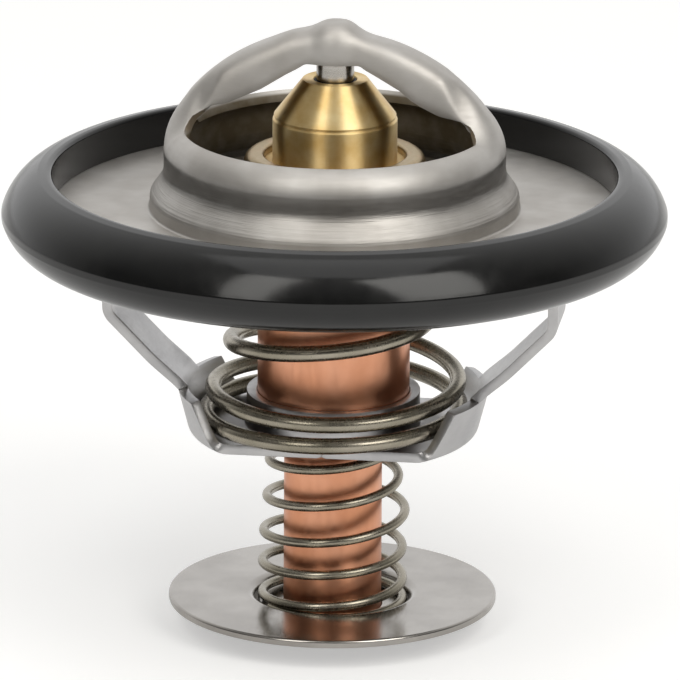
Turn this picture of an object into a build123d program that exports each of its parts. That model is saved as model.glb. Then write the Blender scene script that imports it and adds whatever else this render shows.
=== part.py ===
"""Engine thermostat with a domed two-arm frame, a wax element and a sprung bypass disc.

Millimetres. The origin is on the valve axis, in the middle of the flange's thickness,
where the seal ring is widest. +Z points to the dome and +X along its arms.
"""

from build123d import *
import math
import os

os.makedirs("parts", exist_ok=True)

# Frame: one drawn and pierced sheet
FRAME_SHEET = 1.2
FLANGE_R = 31.0
NECK_R = 17.2
NECK_FOOT_R = 3.0
SHOULDER_R = 2.8
SHOULDER_Z = 6.2
DOME_OVER = 2.0
DOME_CENTRE_Z = -0.64
WINDOW_LAND = 1.9
WINDOW_CORNER_R = 1.2
ARM_W = 5.6
ARM_EDGE_R = 1.4
ARM_HEEL_RISE = 0.3
ARM_SAG = 0.5
ARM_WEB_DROP = 2.0
ARM_WEB_R = 0.8
BOSS_R = 2.65
BOSS_RISE = 1.44
BOSS_H = 4.0
BOSS_FILLET = 1.6
SOCKET_ROOF = 1.6

# Seal ring
SEAL_COVER = 2.5
SEAL_GRIP = 2.6
SEAL_TOP_Z = 4.4
SEAL_FOOT_Z = -3.4
SEAL_BAND_H = 1.0
SEAL_TOP_LAND_W = 1.1
SEAL_FOOT_LAND_W = 1.5
SEAL_TOP_CROWN_R = 5.0
SEAL_FOOT_CROWN_R = 3.6
SEAL_EDGE_R = 0.6

# Piston and guide
PISTON_R = 1.9
PISTON_SLIDE_GAP = 0.05
PISTON_SOCKET_GAP = 0.02
PISTON_FOOT_Z = -9.0
PISTON_TAPER_H = 2.5
PISTON_TIP_R = 1.35
GUIDE_RIM_GAP = 0.83
GUIDE_TOP_R = 3.3
GUIDE_TOP_GAP = 2.0
GUIDE_CONE_H = 3.9
GUIDE_GROOVE = 0.2
GUIDE_CHAMFER = 0.3
GUIDE_FLANGE_T = 0.8
WIPER_R = 2.6
WIPER_H = 1.3
WIPER_LIP_GAP = 0.03
WIPER_LIP_H = 0.4

# Element cup
CUP_R = 7.69
CUP_WALL = 0.8
CUP_LEDGE_Z = 3.4
CUP_LEDGE_T = 0.8
RIM_OVER = 1.45
RIM_WALL = 0.91
RIM_LIP_W = 2.04
RIM_LIP_T = 0.9
RIM_ROLL_R = 0.6
CUP_FOOT_Z = -19.6
CUP_FOOT_FILLET = 0.8
TAIL_R = 4.97
TAIL_WALL = 0.8
TAIL_FLOOR = 6.2
TAIL_CHAMFER = 0.4

# Rubber boot round the piston and the washer above it
BOOT_WALL = 1.5
BOOT_FOOT_T = 1.4
BOOT_FLANGE_T = 0.4
BOOT_END_GAP = 0.3
BACKUP_R = 3.4
BACKUP_T = 0.6
SEAT_GAP = 0.03
WAX_GAP = 0.05

# Valve
VALVE_SHEET = 1.0
VALVE_HUB_OVER = 1.1
VALVE_HUB_GAP = 0.06
VALVE_RIM_W = 2.6
VALVE_RIM_Z = -1.4
VALVE_LAP = 0.8
VALVE_SEAL_COVER = 1.4
VALVE_SEAL_GRIP = 1.8
VALVE_SEAL_SKIN = 0.7
VALVE_SEAL_SHOULDER = 0.9
VALVE_BEND_R = 0.6

# Main spring, right-hand, wide at the foot
MAIN_WIRE = 1.56
MAIN_STAND_OFF = 2.21
MAIN_SECOND_STEP = 2.3
MAIN_FOOT_STEP = 3.0
MAIN_WAIST_H = 8.2
MAIN_TURNS = 5.4
MAIN_START_ANGLE = 90

# Both springs
COIL_STEPS = 12
COIL_CLOSED_PITCH = 1.06
COIL_SEAT_GAP = 0.08

# Cage: one stamped strip
CAGE_SHEET = 1.0
CAGE_BASE_Z = -22.0
CAGE_BASE_W = 19.0
CAGE_TAPER_X = 11.2
CAGE_EAR_W = 12.4
CAGE_SPRING_ROOM = 1.6
CAGE_WALL_FLARE = 1.9
CAGE_WALL_H = 3.8
CAGE_LEG_W = 7.4
CAGE_LEG_H = 7.3
CAGE_FOOT_L = 4.7
CAGE_FOOT_GAP = 0.6
CAGE_BEND_R = 1.3
COLLAR_H = 3.5
COLLAR_SLIDE_GAP = 0.08

# Bypass disc, its spring and its retaining washer
BYPASS_WIRE = 0.88
BYPASS_INSET = 1.04
BYPASS_FLARE = 0.45
BYPASS_TURNS = 7.17
BYPASS_START_ANGLE = 216
DISC_R = 16.63
DISC_SHEET = 0.8
DISC_TOP_Z = -39.9
RECESS_OVER = 1.0
RECESS_DEPTH = 1.3
RECESS_BEND_R = 0.6
DISC_SLIDE_GAP = 0.06
WASHER_INSET = 0.5
WASHER_T = 1.2

# Places that follow from the sizes above
flange_top = FRAME_SHEET / 2
neck_inner_r = NECK_R - FRAME_SHEET
shoulder_top = SHOULDER_Z + SHOULDER_R
window_r = NECK_R - WINDOW_LAND
dome_r = NECK_R + DOME_OVER
dome_inner_r = dome_r - FRAME_SHEET
boss_top = DOME_CENTRE_Z + dome_r + BOSS_RISE
boss_foot = boss_top - BOSS_H
socket_top = boss_top - SOCKET_ROOF
seal_r = FLANGE_R + SEAL_COVER
seal_inner_r = FLANGE_R - SEAL_GRIP
seal_top_land_r = seal_inner_r + SEAL_TOP_LAND_W
seal_foot_land_r = seal_inner_r + SEAL_FOOT_LAND_W
rim_r = CUP_R + RIM_OVER
rim_inner_r = rim_r - RIM_WALL
rim_lip_r = rim_r - RIM_LIP_W
guide_r = rim_lip_r - GUIDE_RIM_GAP
guide_flange_r = rim_inner_r - SEAT_GAP
guide_top = boss_foot - GUIDE_TOP_GAP
cone_foot = guide_top - GUIDE_CONE_H
main_top_r = CUP_R + MAIN_STAND_OFF
main_foot_r = main_top_r + MAIN_FOOT_STEP
main_second_r = main_top_r + MAIN_SECOND_STEP
bypass_top_r = CUP_R - BYPASS_INSET
bypass_foot_r = bypass_top_r + BYPASS_FLARE


def dome_height(radius, sphere_r):
    """Height on a sphere about the dome's centre, at a distance from the axis."""
    return DOME_CENTRE_Z + math.sqrt(sphere_r**2 - radius**2)


# ---------------------------------------------------------------- frame
# The space under the arms' channels, cut out of the bridge.
with BuildPart() as channel:
    with BuildSketch(Plane.XZ):
        with Locations((0, DOME_CENTRE_Z)):
            Circle(dome_inner_r)
        with Locations((0, CUP_LEDGE_Z)):
            Rectangle(neck_inner_r, dome_r, align=(Align.MIN, Align.MIN), mode=Mode.INTERSECT)
    revolve(axis=Axis.Z)
    Box(4 * dome_r, ARM_W - 2 * FRAME_SHEET, 4 * dome_r, mode=Mode.INTERSECT)

# The two arms: a strap of the dome with hanging sides, which run out into the shoulder's web.
# The heel's radius is the one that leaves the neck just above the shoulder's start.
heel_h = SHOULDER_Z + ARM_HEEL_RISE - DOME_CENTRE_Z
heel_r = (dome_r**2 - NECK_R**2 - heel_h**2) / (2 * DOME_OVER)
arm_near_x = BOSS_R + FRAME_SHEET / 3
arm_near_z = dome_height(arm_near_x, dome_inner_r)
arm_far_z = dome_height(window_r, dome_inner_r)
arm_mid = ((arm_near_x + window_r) / 2, (arm_near_z + arm_far_z) / 2 - ARM_SAG)
web_x = math.sqrt((window_r - WINDOW_CORNER_R) ** 2 - (ARM_W / 2 + WINDOW_CORNER_R) ** 2)
web_z = dome_height(web_x, dome_inner_r) - ARM_WEB_DROP

with BuildPart() as bridge:
    with BuildSketch(Plane.XZ) as bridge_section:
        with Locations((0, DOME_CENTRE_Z)):
            Circle(dome_r)
        with Locations((0, SHOULDER_Z - SHOULDER_R)):
            Rectangle(NECK_R, dome_r, align=(Align.MIN, Align.MIN), mode=Mode.INTERSECT)
        heel = (NECK_R, dome_height(NECK_R, dome_r))
        fillet(bridge_section.vertices().sort_by_distance(heel)[0], heel_r)
    revolve(axis=Axis.Z)
    with BuildSketch(Plane.XZ) as arm_side:
        with BuildLine():
            Line((0, arm_near_z), (arm_near_x, arm_near_z))
            ThreePointArc((arm_near_x, arm_near_z), arm_mid, (window_r, arm_far_z))
            Polyline(
                (window_r, arm_far_z),
                (window_r, SHOULDER_Z),
                (dome_r, SHOULDER_Z),
                (dome_r, dome_r),
                (0, dome_r),
                (0, arm_near_z),
            )
        make_face()
        with Locations((web_x, SHOULDER_Z)):
            Rectangle(dome_r - web_x, dome_r - SHOULDER_Z, align=(Align.MIN, Align.MIN))
        fillet(arm_side.vertices().sort_by_distance((web_x, web_z))[0], ARM_WEB_R)
        mirror(about=Plane.YZ)
    extrude(amount=ARM_W / 2, both=True, mode=Mode.INTERSECT)
    fillet(bridge.edges().sort_by(SortBy.LENGTH)[-2:], ARM_EDGE_R)

# The boss that holds the piston's head, flared where it leaves the dome.
with BuildPart() as boss:
    with BuildSketch(Plane.XZ) as boss_section:
        with Locations((0, DOME_CENTRE_Z)):
            Circle(dome_r)
        with Locations((0, boss_top - BOSS_R)):
            Circle(BOSS_R)
        with Locations((0, arm_near_z)):
            Rectangle(ARM_W, ARM_W, align=(Align.MIN, Align.MIN), mode=Mode.INTERSECT)
        flare = (BOSS_R, dome_height(BOSS_R, dome_r))
        fillet(boss_section.vertices().sort_by_distance(flare)[0], BOSS_FILLET)
    revolve(axis=Axis.Z)
    Box(4 * ARM_W, ARM_W, 4 * dome_r, mode=Mode.INTERSECT)
    with Locations((0, 0, boss_foot)):
        Cylinder(BOSS_R, socket_top - boss_foot, align=(Align.CENTER, Align.CENTER, Align.MIN))

with BuildPart() as frame:
    with BuildSketch(Plane.XZ):
        with BuildLine():
            FilletPolyline(
                (FLANGE_R, flange_top),
                (NECK_R, flange_top),
                (NECK_R, shoulder_top),
                (math.hypot(web_x, ARM_W / 2), shoulder_top),
                radius=[NECK_FOOT_R, SHOULDER_R],
            )
            offset(amount=FRAME_SHEET, side=Side.LEFT)
        make_face()
    revolve(axis=Axis.Z)
    with BuildSketch(Plane.XY.offset(SHOULDER_Z)) as windows:
        Circle(window_r)
        Rectangle(4 * window_r, ARM_W, mode=Mode.SUBTRACT)
        fillet(windows.vertices(), WINDOW_CORNER_R)
    extrude(amount=2 * SHOULDER_R, mode=Mode.SUBTRACT)
    add(bridge.part)
    add(channel.part, mode=Mode.SUBTRACT)
    add(boss.part)
    with Locations((0, 0, boss_foot)):
        Cylinder(
            PISTON_R + PISTON_SOCKET_GAP,
            socket_top - boss_foot,
            align=(Align.CENTER, Align.CENTER, Align.MIN),
            mode=Mode.SUBTRACT,
        )
frame.part.label = "frame"
export_step(frame.part, "parts/frame.step")


# ---------------------------------------------------------------- seal ring
with BuildPart() as seal_ring:
    with BuildSketch(Plane.XZ) as seal_section:
        with BuildLine():
            Polyline(
                (seal_foot_land_r, SEAL_FOOT_Z),
                (seal_inner_r, SEAL_FOOT_Z),
                (seal_inner_r, SEAL_TOP_Z),
                (seal_top_land_r, SEAL_TOP_Z),
            )
            RadiusArc((seal_top_land_r, SEAL_TOP_Z), (seal_r, SEAL_BAND_H / 2), SEAL_TOP_CROWN_R)
            Line((seal_r, SEAL_BAND_H / 2), (seal_r, -SEAL_BAND_H / 2))
            RadiusArc((seal_r, -SEAL_BAND_H / 2), (seal_foot_land_r, SEAL_FOOT_Z), SEAL_FOOT_CROWN_R)
        make_face()
        inner_corners = seal_section.vertices().group_by(Axis.X)[0]
        fillet(inner_corners, SEAL_EDGE_R)
        Rectangle(FLANGE_R, FRAME_SHEET, align=(Align.MIN, Align.CENTER), mode=Mode.SUBTRACT)
    revolve(axis=Axis.Z)
seal_ring.part.label = "seal_ring"
export_step(seal_ring.part, "parts/seal_ring.step")


# ---------------------------------------------------------------- piston
with BuildPart() as piston:
    with BuildSketch(Plane.XZ):
        with BuildLine():
            Polyline(
                (0, PISTON_FOOT_Z),
                (PISTON_TIP_R, PISTON_FOOT_Z),
                (PISTON_R, PISTON_FOOT_Z + PISTON_TAPER_H),
                (PISTON_R, socket_top),
                (0, socket_top),
                close=True,
            )
        make_face()
    revolve(axis=Axis.Z)
piston.part.label = "piston"
export_step(piston.part, "parts/piston.step")


# ---------------------------------------------------------------- piston guide
guide_foot = CUP_LEDGE_Z + CUP_LEDGE_T + BOOT_FLANGE_T
guide_flange_top = guide_foot + GUIDE_FLANGE_T
slide_r = PISTON_R + PISTON_SLIDE_GAP

with BuildPart() as piston_guide:
    with BuildSketch(Plane.XZ):
        with BuildLine():
            Polyline(
                (slide_r, guide_foot),
                (guide_flange_r, guide_foot),
                (guide_flange_r, guide_flange_top),
                (guide_r, guide_flange_top),
                (guide_r, cone_foot),
                (GUIDE_TOP_R, guide_top),
                (slide_r, guide_top),
                close=True,
            )
        make_face()
        with Locations((guide_r, cone_foot)):
            Rectangle(2 * GUIDE_GROOVE, 2 * GUIDE_GROOVE, mode=Mode.SUBTRACT)
    revolve(axis=Axis.Z)
    with Locations((0, 0, guide_top)):
        Cylinder(WIPER_R, WIPER_H, align=(Align.CENTER, Align.CENTER, Align.MAX), mode=Mode.SUBTRACT)
    with Locations((0, 0, guide_foot)):
        Cylinder(
            BACKUP_R + SEAT_GAP,
            BACKUP_T,
            align=(Align.CENTER, Align.CENTER, Align.MIN),
            mode=Mode.SUBTRACT,
        )
    top_edges = piston_guide.edges().filter_by(GeomType.CIRCLE).group_by(Axis.Z)[-1]
    chamfer(top_edges.sort_by(SortBy.RADIUS)[-1], GUIDE_CHAMFER)
piston_guide.part.label = "piston_guide"
export_step(piston_guide.part, "parts/piston_guide.step")

# Wiper ring at the nose, with a lip that runs on the piston.
with BuildPart() as nose_wiper:
    with BuildSketch(Plane.XZ):
        with BuildLine():
            Polyline(
                (PISTON_R + WIPER_LIP_GAP, guide_top - WIPER_H + WIPER_LIP_H),
                (slide_r + WIPER_LIP_H, guide_top - WIPER_H),
                (WIPER_R - SEAT_GAP, guide_top - WIPER_H),
                (WIPER_R - SEAT_GAP, guide_top),
                (PISTON_R + WIPER_LIP_GAP, guide_top),
                close=True,
            )
        make_face()
    revolve(axis=Axis.Z)
nose_wiper.part.label = "nose_wiper"
export_step(nose_wiper.part, "parts/nose_wiper.step")


# ---------------------------------------------------------------- wax element
rim_top = guide_flange_top + RIM_LIP_T
cup_inner_r = CUP_R - CUP_WALL
tail_inner_r = TAIL_R - TAIL_WALL
cup_floor = CUP_FOOT_Z + CUP_WALL
ledge_top = CUP_LEDGE_Z + CUP_LEDGE_T
boot_r = slide_r + BOOT_WALL
boot_bore_foot = PISTON_FOOT_Z - BOOT_END_GAP
washer_foot = DISC_TOP_Z - RECESS_DEPTH - DISC_SHEET - WASHER_T
tail_bore_foot = washer_foot + TAIL_FLOOR

# Drawn cup with its rim rolled over the guide's flange and a long tail below.
with BuildPart() as element_cup:
    with BuildSketch(Plane.XZ) as cup_section:
        with BuildLine():
            Polyline(
                (0, washer_foot),
                (TAIL_R, washer_foot),
                (TAIL_R, CUP_FOOT_Z),
                (CUP_R, CUP_FOOT_Z),
                (CUP_R, CUP_LEDGE_Z),
                (rim_r, CUP_LEDGE_Z),
                (rim_r, rim_top),
                (rim_lip_r, rim_top),
                (rim_lip_r, guide_flange_top),
                (rim_inner_r, guide_flange_top),
                (rim_inner_r, ledge_top),
                (cup_inner_r, ledge_top),
                (cup_inner_r, cup_floor),
                (tail_inner_r, cup_floor),
                (tail_inner_r, tail_bore_foot),
                (0, tail_bore_foot),
                close=True,
            )
        make_face()
        fillet(cup_section.vertices().sort_by_distance((CUP_R, CUP_FOOT_Z))[0], CUP_FOOT_FILLET)
        fillet(cup_section.vertices().sort_by_distance((rim_r, rim_top))[0], RIM_ROLL_R)
        chamfer(cup_section.vertices().sort_by_distance((TAIL_R, washer_foot))[0], TAIL_CHAMFER)
    revolve(axis=Axis.Z)
element_cup.part.label = "element_cup"
export_step(element_cup.part, "parts/element_cup.step")

# Rubber boot: a sleeve round the piston, closed below it, with a flange under the guide.
with BuildPart() as boot:
    with BuildSketch(Plane.XZ):
        with BuildLine():
            Polyline(
                (0, boot_bore_foot - BOOT_FOOT_T),
                (boot_r, boot_bore_foot - BOOT_FOOT_T),
                (boot_r, ledge_top),
                (guide_flange_r, ledge_top),
                (guide_flange_r, guide_foot),
                (slide_r, guide_foot),
                (slide_r, boot_bore_foot),
                (0, boot_bore_foot),
                close=True,
            )
        make_face()
    revolve(axis=Axis.Z)
boot.part.label = "boot"
export_step(boot.part, "parts/boot.step")

with BuildPart() as backup_washer:
    with BuildSketch(Plane.XY.offset(guide_foot)):
        Circle(BACKUP_R)
        Circle(slide_r, mode=Mode.SUBTRACT)
    extrude(amount=BACKUP_T)
backup_washer.part.label = "backup_washer"
export_step(backup_washer.part, "parts/backup_washer.step")

# Wax fills the cup round the boot, and the tail's bore.
with BuildPart() as wax:
    with BuildSketch(Plane.XZ):
        with BuildLine():
            Polyline(
                (0, tail_bore_foot),
                (tail_inner_r - WAX_GAP, tail_bore_foot),
                (tail_inner_r - WAX_GAP, cup_floor),
                (cup_inner_r - WAX_GAP, cup_floor),
                (cup_inner_r - WAX_GAP, ledge_top),
                (boot_r + WAX_GAP, ledge_top),
                (boot_r + WAX_GAP, boot_bore_foot - BOOT_FOOT_T),
                (0, boot_bore_foot - BOOT_FOOT_T),
                close=True,
            )
        make_face()
    revolve(axis=Axis.Z)
wax.part.label = "wax"
export_step(wax.part, "parts/wax.step")


# ---------------------------------------------------------------- main valve
hub_r = CUP_R + VALVE_HUB_GAP
valve_hub_r = main_top_r + VALVE_HUB_OVER
valve_seal_r = NECK_R + VALVE_LAP
valve_rim_r = valve_seal_r - VALVE_SEAL_COVER
valve_rim_inner_r = valve_rim_r - VALVE_RIM_W
valve_seal_inner_r = valve_rim_r - VALVE_SEAL_GRIP
valve_seal_top = VALVE_RIM_Z + VALVE_SHEET + VALVE_SEAL_SKIN

# Pressed plate: a hub under the cup's rim, a skirt going down, and a flat rim.
valve_slope = math.atan2(CUP_LEDGE_Z - VALVE_SHEET - VALVE_RIM_Z, valve_rim_inner_r - valve_hub_r)
valve_shift = VALVE_SHEET * math.tan(valve_slope / 2)
over_hub = (valve_hub_r, CUP_LEDGE_Z)
under_hub = (valve_hub_r - valve_shift, CUP_LEDGE_Z - VALVE_SHEET)
over_rim = (valve_rim_inner_r, VALVE_RIM_Z + VALVE_SHEET)
under_rim = (valve_rim_inner_r - valve_shift, VALVE_RIM_Z)

with BuildPart() as valve_plate:
    with BuildSketch(Plane.XZ) as plate_section:
        with BuildLine():
            Polyline(
                (hub_r, CUP_LEDGE_Z - VALVE_SHEET),
                (hub_r, CUP_LEDGE_Z),
                over_hub,
                over_rim,
                (valve_rim_r, VALVE_RIM_Z + VALVE_SHEET),
                (valve_rim_r, VALVE_RIM_Z),
                under_rim,
                under_hub,
                close=True,
            )
        make_face()
        for corner in (under_hub, over_rim):
            fillet(plate_section.vertices().sort_by_distance(corner)[0], VALVE_BEND_R)
        for corner in (over_hub, under_rim):
            fillet(plate_section.vertices().sort_by_distance(corner)[0], VALVE_BEND_R + VALVE_SHEET)
    revolve(axis=Axis.Z)
valve_plate.part.label = "valve_plate"
export_step(valve_plate.part, "parts/valve_plate.step")

# Rubber moulded round the plate's rim; its rounded shoulder meets the flare of the neck.
with BuildPart() as valve_seal:
    with BuildSketch(Plane.XZ) as lip_section:
        with BuildLine():
            Polyline(
                (valve_seal_inner_r, VALVE_RIM_Z - VALVE_SEAL_SKIN),
                (valve_seal_r, VALVE_RIM_Z - VALVE_SEAL_SKIN),
                (valve_seal_r, VALVE_RIM_Z + VALVE_SHEET / 2),
                (valve_seal_r - VALVE_SEAL_SHOULDER, valve_seal_top),
                (valve_seal_inner_r, valve_seal_top),
                close=True,
            )
        make_face()
        with Locations((valve_seal_inner_r, VALVE_RIM_Z)):
            Rectangle(
                valve_rim_r - valve_seal_inner_r,
                VALVE_SHEET,
                align=(Align.MIN, Align.MIN),
                mode=Mode.SUBTRACT,
            )
    revolve(axis=Axis.Z)
valve_seal.part.label = "valve_seal"
export_step(valve_seal.part, "parts/valve_seal.step")


# ---------------------------------------------------------------- cage
cage_foot_underside = -flange_top - CAGE_SHEET
cage_base_foot = CAGE_BASE_Z - CAGE_SHEET
collar_top = CAGE_BASE_Z + COLLAR_H
wall_foot_r = main_foot_r + CAGE_SPRING_ROOM
knee_r = wall_foot_r + CAGE_WALL_FLARE
knee_z = CAGE_BASE_Z + CAGE_WALL_H
cage_foot_r = seal_inner_r - CAGE_FOOT_GAP
leg_r = cage_foot_r - CAGE_FOOT_L
leg_bend_z = knee_z + CAGE_LEG_H
leg_slope = (leg_r - knee_r) / (leg_bend_z - knee_z)

# The cradle under the spring: a base with a collar for the cup and a flaring wall,
# narrower towards the legs.
with BuildPart() as cage:
    with BuildSketch(Plane.XZ) as cradle_section:
        with BuildLine():
            FilletPolyline(
                (CUP_R + COLLAR_SLIDE_GAP, collar_top),
                (CUP_R + COLLAR_SLIDE_GAP, cage_base_foot),
                (wall_foot_r, cage_base_foot),
                (knee_r, knee_z),
                radius=[CAGE_BEND_R, CAGE_BEND_R],
            )
            offset(amount=CAGE_SHEET, side=Side.LEFT)
        make_face()
        with Locations((0, knee_z)):
            Rectangle(2 * knee_r, CAGE_SHEET, align=(Align.MIN, Align.MIN), mode=Mode.SUBTRACT)
    revolve(axis=Axis.Z)
    with BuildSketch(Plane.XY.offset(cage_base_foot)):
        with BuildLine():
            Polyline(
                (0, CAGE_BASE_W / 2),
                (CAGE_TAPER_X, CAGE_BASE_W / 2),
                (knee_r + CAGE_SHEET, CAGE_EAR_W / 2),
                (knee_r + CAGE_SHEET, 0),
            )
            mirror(about=Plane.XZ)
            mirror(about=Plane.YZ)
        make_face()
    extrude(amount=knee_r, mode=Mode.INTERSECT)
    with BuildSketch(Plane.XZ) as leg_side:
        with BuildLine():
            FilletPolyline(
                (knee_r - CAGE_SHEET * leg_slope, knee_z - CAGE_SHEET),
                (leg_r, leg_bend_z),
                (leg_r, cage_foot_underside),
                (cage_foot_r, cage_foot_underside),
                radius=[CAGE_BEND_R + CAGE_SHEET, CAGE_BEND_R],
            )
            offset(amount=CAGE_SHEET, side=Side.LEFT)
        make_face()
        with Locations((0, knee_z)):
            Rectangle(2 * knee_r, 2 * CAGE_SHEET, align=(Align.MIN, Align.MAX), mode=Mode.SUBTRACT)
        mirror(about=Plane.YZ)
    extrude(amount=CAGE_LEG_W / 2, both=True)
cage.part.label = "cage"
export_step(cage.part, "parts/cage.step")


# ---------------------------------------------------------------- springs
def wind(stations, start_angle):
    """Points along a right-hand coil, from stations of (turns, radius, height)."""
    steps = round(stations[-1][0] * COIL_STEPS)
    points = []
    for step in range(steps + 1):
        turns = stations[-1][0] * step / steps
        later = next(i for i in range(1, len(stations)) if turns <= stations[i][0] + 1e-9)
        before, after = stations[later - 1], stations[later]
        share = (turns - before[0]) / (after[0] - before[0])
        radius = before[1] + share * (after[1] - before[1])
        height = before[2] + share * (after[2] - before[2])
        angle = math.radians(start_angle + 360 * turns)
        points.append(Vector(radius * math.cos(angle), radius * math.sin(angle), height))
    return points


main_foot = CAGE_BASE_Z + COIL_SEAT_GAP + MAIN_WIRE / 2
main_top = CUP_LEDGE_Z - VALVE_SHEET - COIL_SEAT_GAP - MAIN_WIRE / 2
main_coil = wind(
    [
        (0, main_foot_r, main_foot),
        (0.5, main_foot_r, main_foot + 0.1 * MAIN_WIRE),
        (1.0, main_foot_r, main_foot + COIL_CLOSED_PITCH * MAIN_WIRE),
        (1.75, main_second_r, main_foot + 2.3 * MAIN_WIRE),
        (2.25, main_top_r, main_foot + MAIN_WAIST_H),
        (MAIN_TURNS - 1.0, main_top_r, main_top - COIL_CLOSED_PITCH * MAIN_WIRE),
        (MAIN_TURNS - 0.75, main_top_r, main_top),
        (MAIN_TURNS, main_top_r, main_top),
    ],
    MAIN_START_ANGLE,
)
with BuildPart() as main_spring:
    with BuildLine() as main_path:
        Spline(main_coil)
    with BuildSketch(Plane(origin=main_path.line @ 0, z_dir=main_path.line % 0)):
        Circle(MAIN_WIRE / 2)
    sweep()
main_spring.part.label = "main_spring"
export_step(main_spring.part, "parts/main_spring.step")

bypass_foot = DISC_TOP_Z - RECESS_DEPTH + COIL_SEAT_GAP + BYPASS_WIRE / 2
bypass_top = CUP_FOOT_Z - COIL_SEAT_GAP - BYPASS_WIRE / 2
bypass_coil = wind(
    [
        (0, bypass_foot_r, bypass_foot),
        (0.75, bypass_foot_r, bypass_foot),
        (1.0, bypass_foot_r, bypass_foot + COIL_CLOSED_PITCH * BYPASS_WIRE),
        (BYPASS_TURNS - 1.0, bypass_top_r, bypass_top - COIL_CLOSED_PITCH * BYPASS_WIRE),
        (BYPASS_TURNS - 0.75, bypass_top_r, bypass_top),
        (BYPASS_TURNS, bypass_top_r, bypass_top),
    ],
    BYPASS_START_ANGLE,
)
with BuildPart() as bypass_spring:
    with BuildLine() as bypass_path:
        Spline(bypass_coil)
    with BuildSketch(Plane(origin=bypass_path.line @ 0, z_dir=bypass_path.line % 0)):
        Circle(BYPASS_WIRE / 2)
    sweep()
bypass_spring.part.label = "bypass_spring"
export_step(bypass_spring.part, "parts/bypass_spring.step")


# ---------------------------------------------------------------- bypass valve
recess_r = bypass_foot_r + RECESS_OVER
washer_r = recess_r - WASHER_INSET

# Pressed disc with a recess for its spring, flat out to its edge.
with BuildPart() as bypass_disc:
    with BuildSketch(Plane.XZ) as disc_section:
        with BuildLine():
            FilletPolyline(
                (TAIL_R + DISC_SLIDE_GAP, DISC_TOP_Z - RECESS_DEPTH),
                (recess_r, DISC_TOP_Z - RECESS_DEPTH),
                (recess_r, DISC_TOP_Z),
                (DISC_R, DISC_TOP_Z),
                radius=[RECESS_BEND_R, RECESS_BEND_R + DISC_SHEET / 2],
            )
            offset(amount=DISC_SHEET, side=Side.RIGHT)
        make_face()
    revolve(axis=Axis.Z)
bypass_disc.part.label = "bypass_disc"
export_step(bypass_disc.part, "parts/bypass_disc.step")

with BuildPart() as lock_washer:
    with BuildSketch(Plane.XY.offset(washer_foot)):
        Circle(washer_r)
        Circle(TAIL_R, mode=Mode.SUBTRACT)
    extrude(amount=WASHER_T)
lock_washer.part.label = "lock_washer"
export_step(lock_washer.part, "parts/lock_washer.step")
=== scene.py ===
"""Looks of an engine thermostat: fine surfaces, finishes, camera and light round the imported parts.

Surfaces are worked out in millimetres, with z up the axis and the flange's middle at z = 0; MM
turns a millimetre into Blender's metres.
"""

import math

import bpy
import numpy as np
from mathutils import Matrix, Vector


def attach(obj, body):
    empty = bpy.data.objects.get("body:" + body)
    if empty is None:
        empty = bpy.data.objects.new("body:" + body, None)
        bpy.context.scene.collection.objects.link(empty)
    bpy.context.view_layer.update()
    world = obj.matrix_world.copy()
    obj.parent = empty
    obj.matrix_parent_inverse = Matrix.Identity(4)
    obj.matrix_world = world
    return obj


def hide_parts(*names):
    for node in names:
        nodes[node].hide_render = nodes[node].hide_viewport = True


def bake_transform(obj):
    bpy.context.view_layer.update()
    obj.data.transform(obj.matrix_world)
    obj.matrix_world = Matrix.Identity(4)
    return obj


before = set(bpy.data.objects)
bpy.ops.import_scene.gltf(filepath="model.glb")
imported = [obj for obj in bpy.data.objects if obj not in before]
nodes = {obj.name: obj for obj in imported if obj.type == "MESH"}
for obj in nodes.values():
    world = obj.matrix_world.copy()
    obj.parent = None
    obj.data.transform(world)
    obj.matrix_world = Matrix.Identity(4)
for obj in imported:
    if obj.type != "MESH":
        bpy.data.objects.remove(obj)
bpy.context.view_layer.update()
MM = 0.001

# ---------------------------------------------------------------- sizes, in millimetres
SHEET = 1.2  # the frame's stainless sheet
FLANGE_R = 31.0
NECK_R = 17.2
FOOT_STEP_R = 18.6  # the neck's flare ends in a low lip of this radius
FOOT_STEP_Z = 2.1
NECK_FOOT_Z = 4.1
SHOULDER_R = 2.8
SHOULDER_Z = 6.2
IRONED_TOP = 6.6  # height where the ironed wall ends and the shoulder's satin begins
HEEL_Z = 6.5
DOME_R = 19.42  # the arms' ridges lie on a ball of this radius
DOME_Z = -0.64
WINDOW_R = 15.3
CORNER_R = 1.2
ARM_HALF = 2.8
WAIST_HALF = 2.45
ROOT_X = 13.52
BOSS_R = 2.65
BOSS_FOOT = 16.0
SOCKET_TOP = 18.4
STANDING_Z = -43.2  # underside of the lock washer, which the part stands on
CUP_FOOT_Z = -19.6  # the cup's shoulder, where the bypass spring pushes
HUB_Z = 2.4  # underside of the valve plate's hub, where the main spring pushes
SEAT_Z = -22.0  # the cage's floor, where the main spring stands
RECESS_Z = -41.2  # floor of the disc's recess
MAIN_WIRE = 1.66
BYPASS_WIRE = 0.98
EASED = 0.12  # edges broken by tumbling
SHEET_EASED = 0.16  # the frame's sheared edges
STRAP_EASED = 0.14  # the cage's sheared edges
SEAL_BORE_R = 28.4  # the rubber's inner edge on the flange
PIN_R = 1.9
SOCKET_R = 1.92  # the boss's socket, a push fit on the pin
GUIDE_BORE_R = 1.95
TAIL_R = 4.97
SPRING_GAP = 0.08  # between a spring's end and its seat
CLOSED_PITCH = 1.06  # a closed coil's pitch, in wires
ARM_POWER = 3.2  # squareness of an arm's section
MAIN_START, BYPASS_START = 90, 216  # where the lower ends of the springs lie, in degrees


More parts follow.
